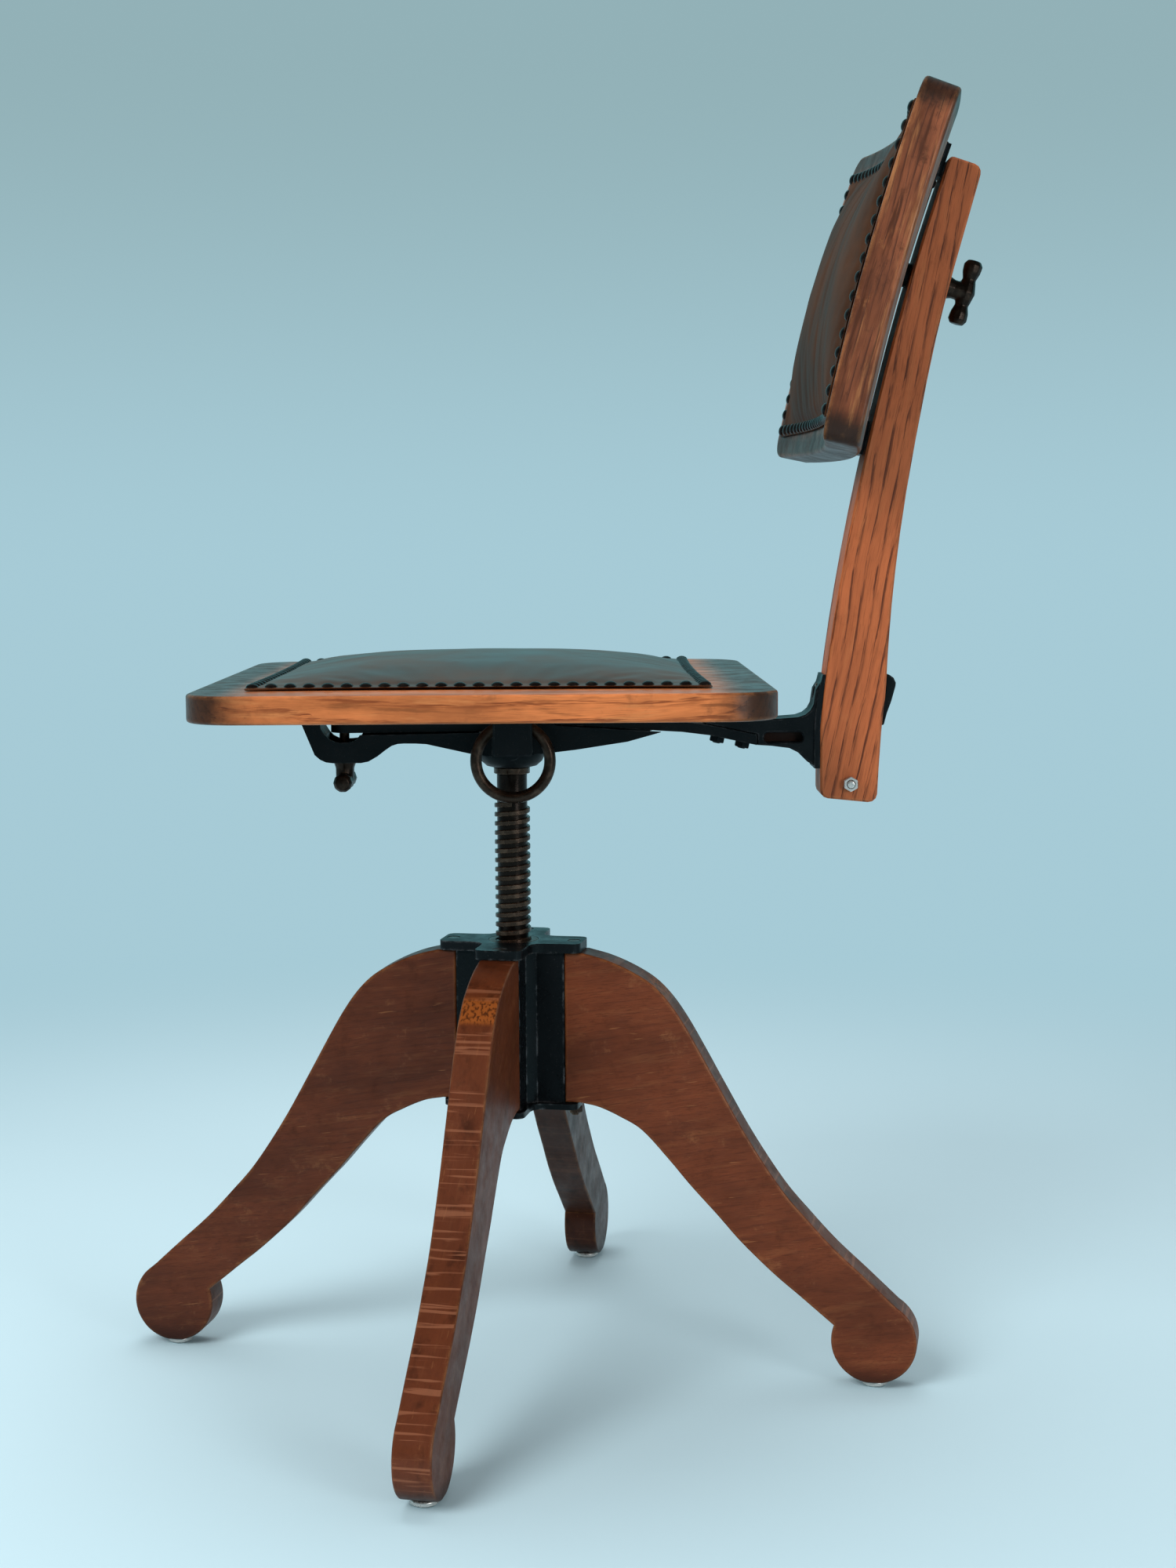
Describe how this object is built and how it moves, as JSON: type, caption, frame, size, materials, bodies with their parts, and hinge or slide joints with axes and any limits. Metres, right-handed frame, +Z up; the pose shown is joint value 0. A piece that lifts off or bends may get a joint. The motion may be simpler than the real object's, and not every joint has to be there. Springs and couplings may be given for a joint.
{
  "type": "bankers swivel chair",
  "caption": "Oak desk chair with leather pads that turns on a screw spindle, its padded back held on a curved post by a flat steel spring bar.",
  "frame": {"origin": "centre of the chair's footprint box on the floor", "axes": "+Z up, -Y to the front of the seat, +X to the side where the pull ring hangs"},
  "size_m": [0.6078, 0.656, 0.9393],
  "materials": {
    "dark_oak": "dark stained oak, worn satin varnish",
    "light_oak": "mid brown oak, worn satin varnish",
    "black_iron": "black japanned casting, rubbed edges",
    "old_steel": "blackened steel, bronze where rubbed",
    "bright_steel": "bright zinc and polished steel",
    "brown_leather": "smooth waxed brown leather with dark nail heads"
  },
  "bodies": {
    "base": {"leg_1": "dark_oak", "leg_2": "dark_oak", "leg_3": "dark_oak", "leg_4": "dark_oak", "glide_1": "bright_steel", "glide_2": "bright_steel", "glide_3": "bright_steel", "glide_4": "bright_steel", "hub": "black_iron", "leg_bolt_1": "old_steel", "leg_bolt_2": "old_steel", "leg_bolt_3": "old_steel", "leg_bolt_4": "old_steel", "leg_bolt_nut_1": "old_steel", "leg_bolt_nut_2": "old_steel", "leg_bolt_nut_3": "old_steel", "leg_bolt_nut_4": "old_steel", "spindle_nut": "old_steel"},
    "carriage": {"thrust_washer": "old_steel"},
    "spindle": {"spindle": "old_steel", "lock_collar": "old_steel"},
    "seat": {"seat_iron": "black_iron", "seat_screw_1": "old_steel", "seat_screw_2": "old_steel", "seat_screw_3": "old_steel", "seat_screw_4": "old_steel", "seat_board": "light_oak", "seat_pad": "brown_leather", "plunger_spring": "bright_steel"},
    "lock_plunger": {"lock_plunger": "black_iron"},
    "pull_ring": {"pull_ring": "old_steel"},
    "tension_bolt": {"tension_bolt": "old_steel"},
    "front_wing_nut": {"front_wing_nut": "old_steel"},
    "back_frame": {"spring_bar": "black_iron", "back_shoe": "black_iron", "shoe_bolt_1": "black_iron", "shoe_bolt_2": "black_iron", "shoe_bolt_nut_1": "black_iron", "shoe_bolt_nut_2": "black_iron", "back_post": "light_oak", "cross_bolt": "bright_steel", "cross_bolt_nut": "bright_steel", "clamp_plate": "black_iron", "clamp_bolt": "old_steel", "track_bolt": "old_steel", "track_spacer": "black_iron"},
    "backrest": {"back_board": "dark_oak", "back_pad": "brown_leather", "height_track": "black_iron", "track_screw_1": "old_steel", "track_screw_2": "old_steel", "track_screw_3": "old_steel", "track_screw_4": "old_steel"},
    "rear_wing_nut": {"rear_wing_nut": "old_steel"}
  },
  "joints": [
    {"name": "height_adjust", "type": "slide", "parent": "base", "child": "carriage", "axis": [0, 0, 1], "range_m": [-0.1, 0.06]},
    {"name": "spindle_turn", "type": "hinge", "parent": "carriage", "child": "spindle", "pos_m": [0, -0.02402, 0.3], "axis": [0, 0, 1], "range_deg": [-5160, 3100]},
    {"name": "seat_swivel", "type": "hinge", "parent": "carriage", "child": "seat", "pos_m": [0, -0.02402, 0.4638], "axis": [0, 0, 1], "continuous": true},
    {"name": "lock_pull", "type": "slide", "parent": "seat", "child": "lock_plunger", "axis": [1, 0, 0], "range_m": [0, 0.005], "stiffness_N_per_m": 900, "springref_m": -0.004, "deforming": ["plunger_spring"]},
    {"name": "ring_swing", "type": "hinge", "parent": "lock_plunger", "child": "pull_ring", "pos_m": [0.044, -0.02402, 0.4996], "axis": [0, -1, 0], "range_deg": [-5, 90]},
    {"name": "back_recline", "type": "hinge", "parent": "seat", "child": "back_frame", "pos_m": [0, 0.01098, 0.4965], "axis": [-1, 0, 0], "range_deg": [0, 2.5]},
    {"name": "tension_lift", "type": "slide", "parent": "seat", "child": "tension_bolt", "axis": [0, 0, 1], "range_m": [0, 0.0072]},
    {"name": "front_wing_turn", "type": "hinge", "parent": "seat", "child": "front_wing_nut", "pos_m": [0, -0.15002, 0.46], "axis": [0, 0, 1], "range_deg": [-2040, 0]},
    {"name": "backrest_height", "type": "hinge", "parent": "back_frame", "child": "backrest", "pos_m": [0, 1.91763, 0.33976], "axis": [-1, 0, 0], "range_deg": [-1.34, 2]},
    {"name": "rear_wing_turn", "type": "hinge", "parent": "back_frame", "child": "rear_wing_nut", "pos_m": [0, 0.27327, 0.82689], "axis": [0, 0.9588, -0.284], "range_deg": [0, 720]}
  ],
  "couplings": [
    {"joint": "spindle_turn", "follows": "height_adjust", "rad_per_m": 897.6},
    {"joint": "tension_lift", "follows": "back_recline", "m_per_rad": 0.161},
    {"joint": "front_wing_turn", "follows": "back_recline", "ratio": -809.27}
  ]
}
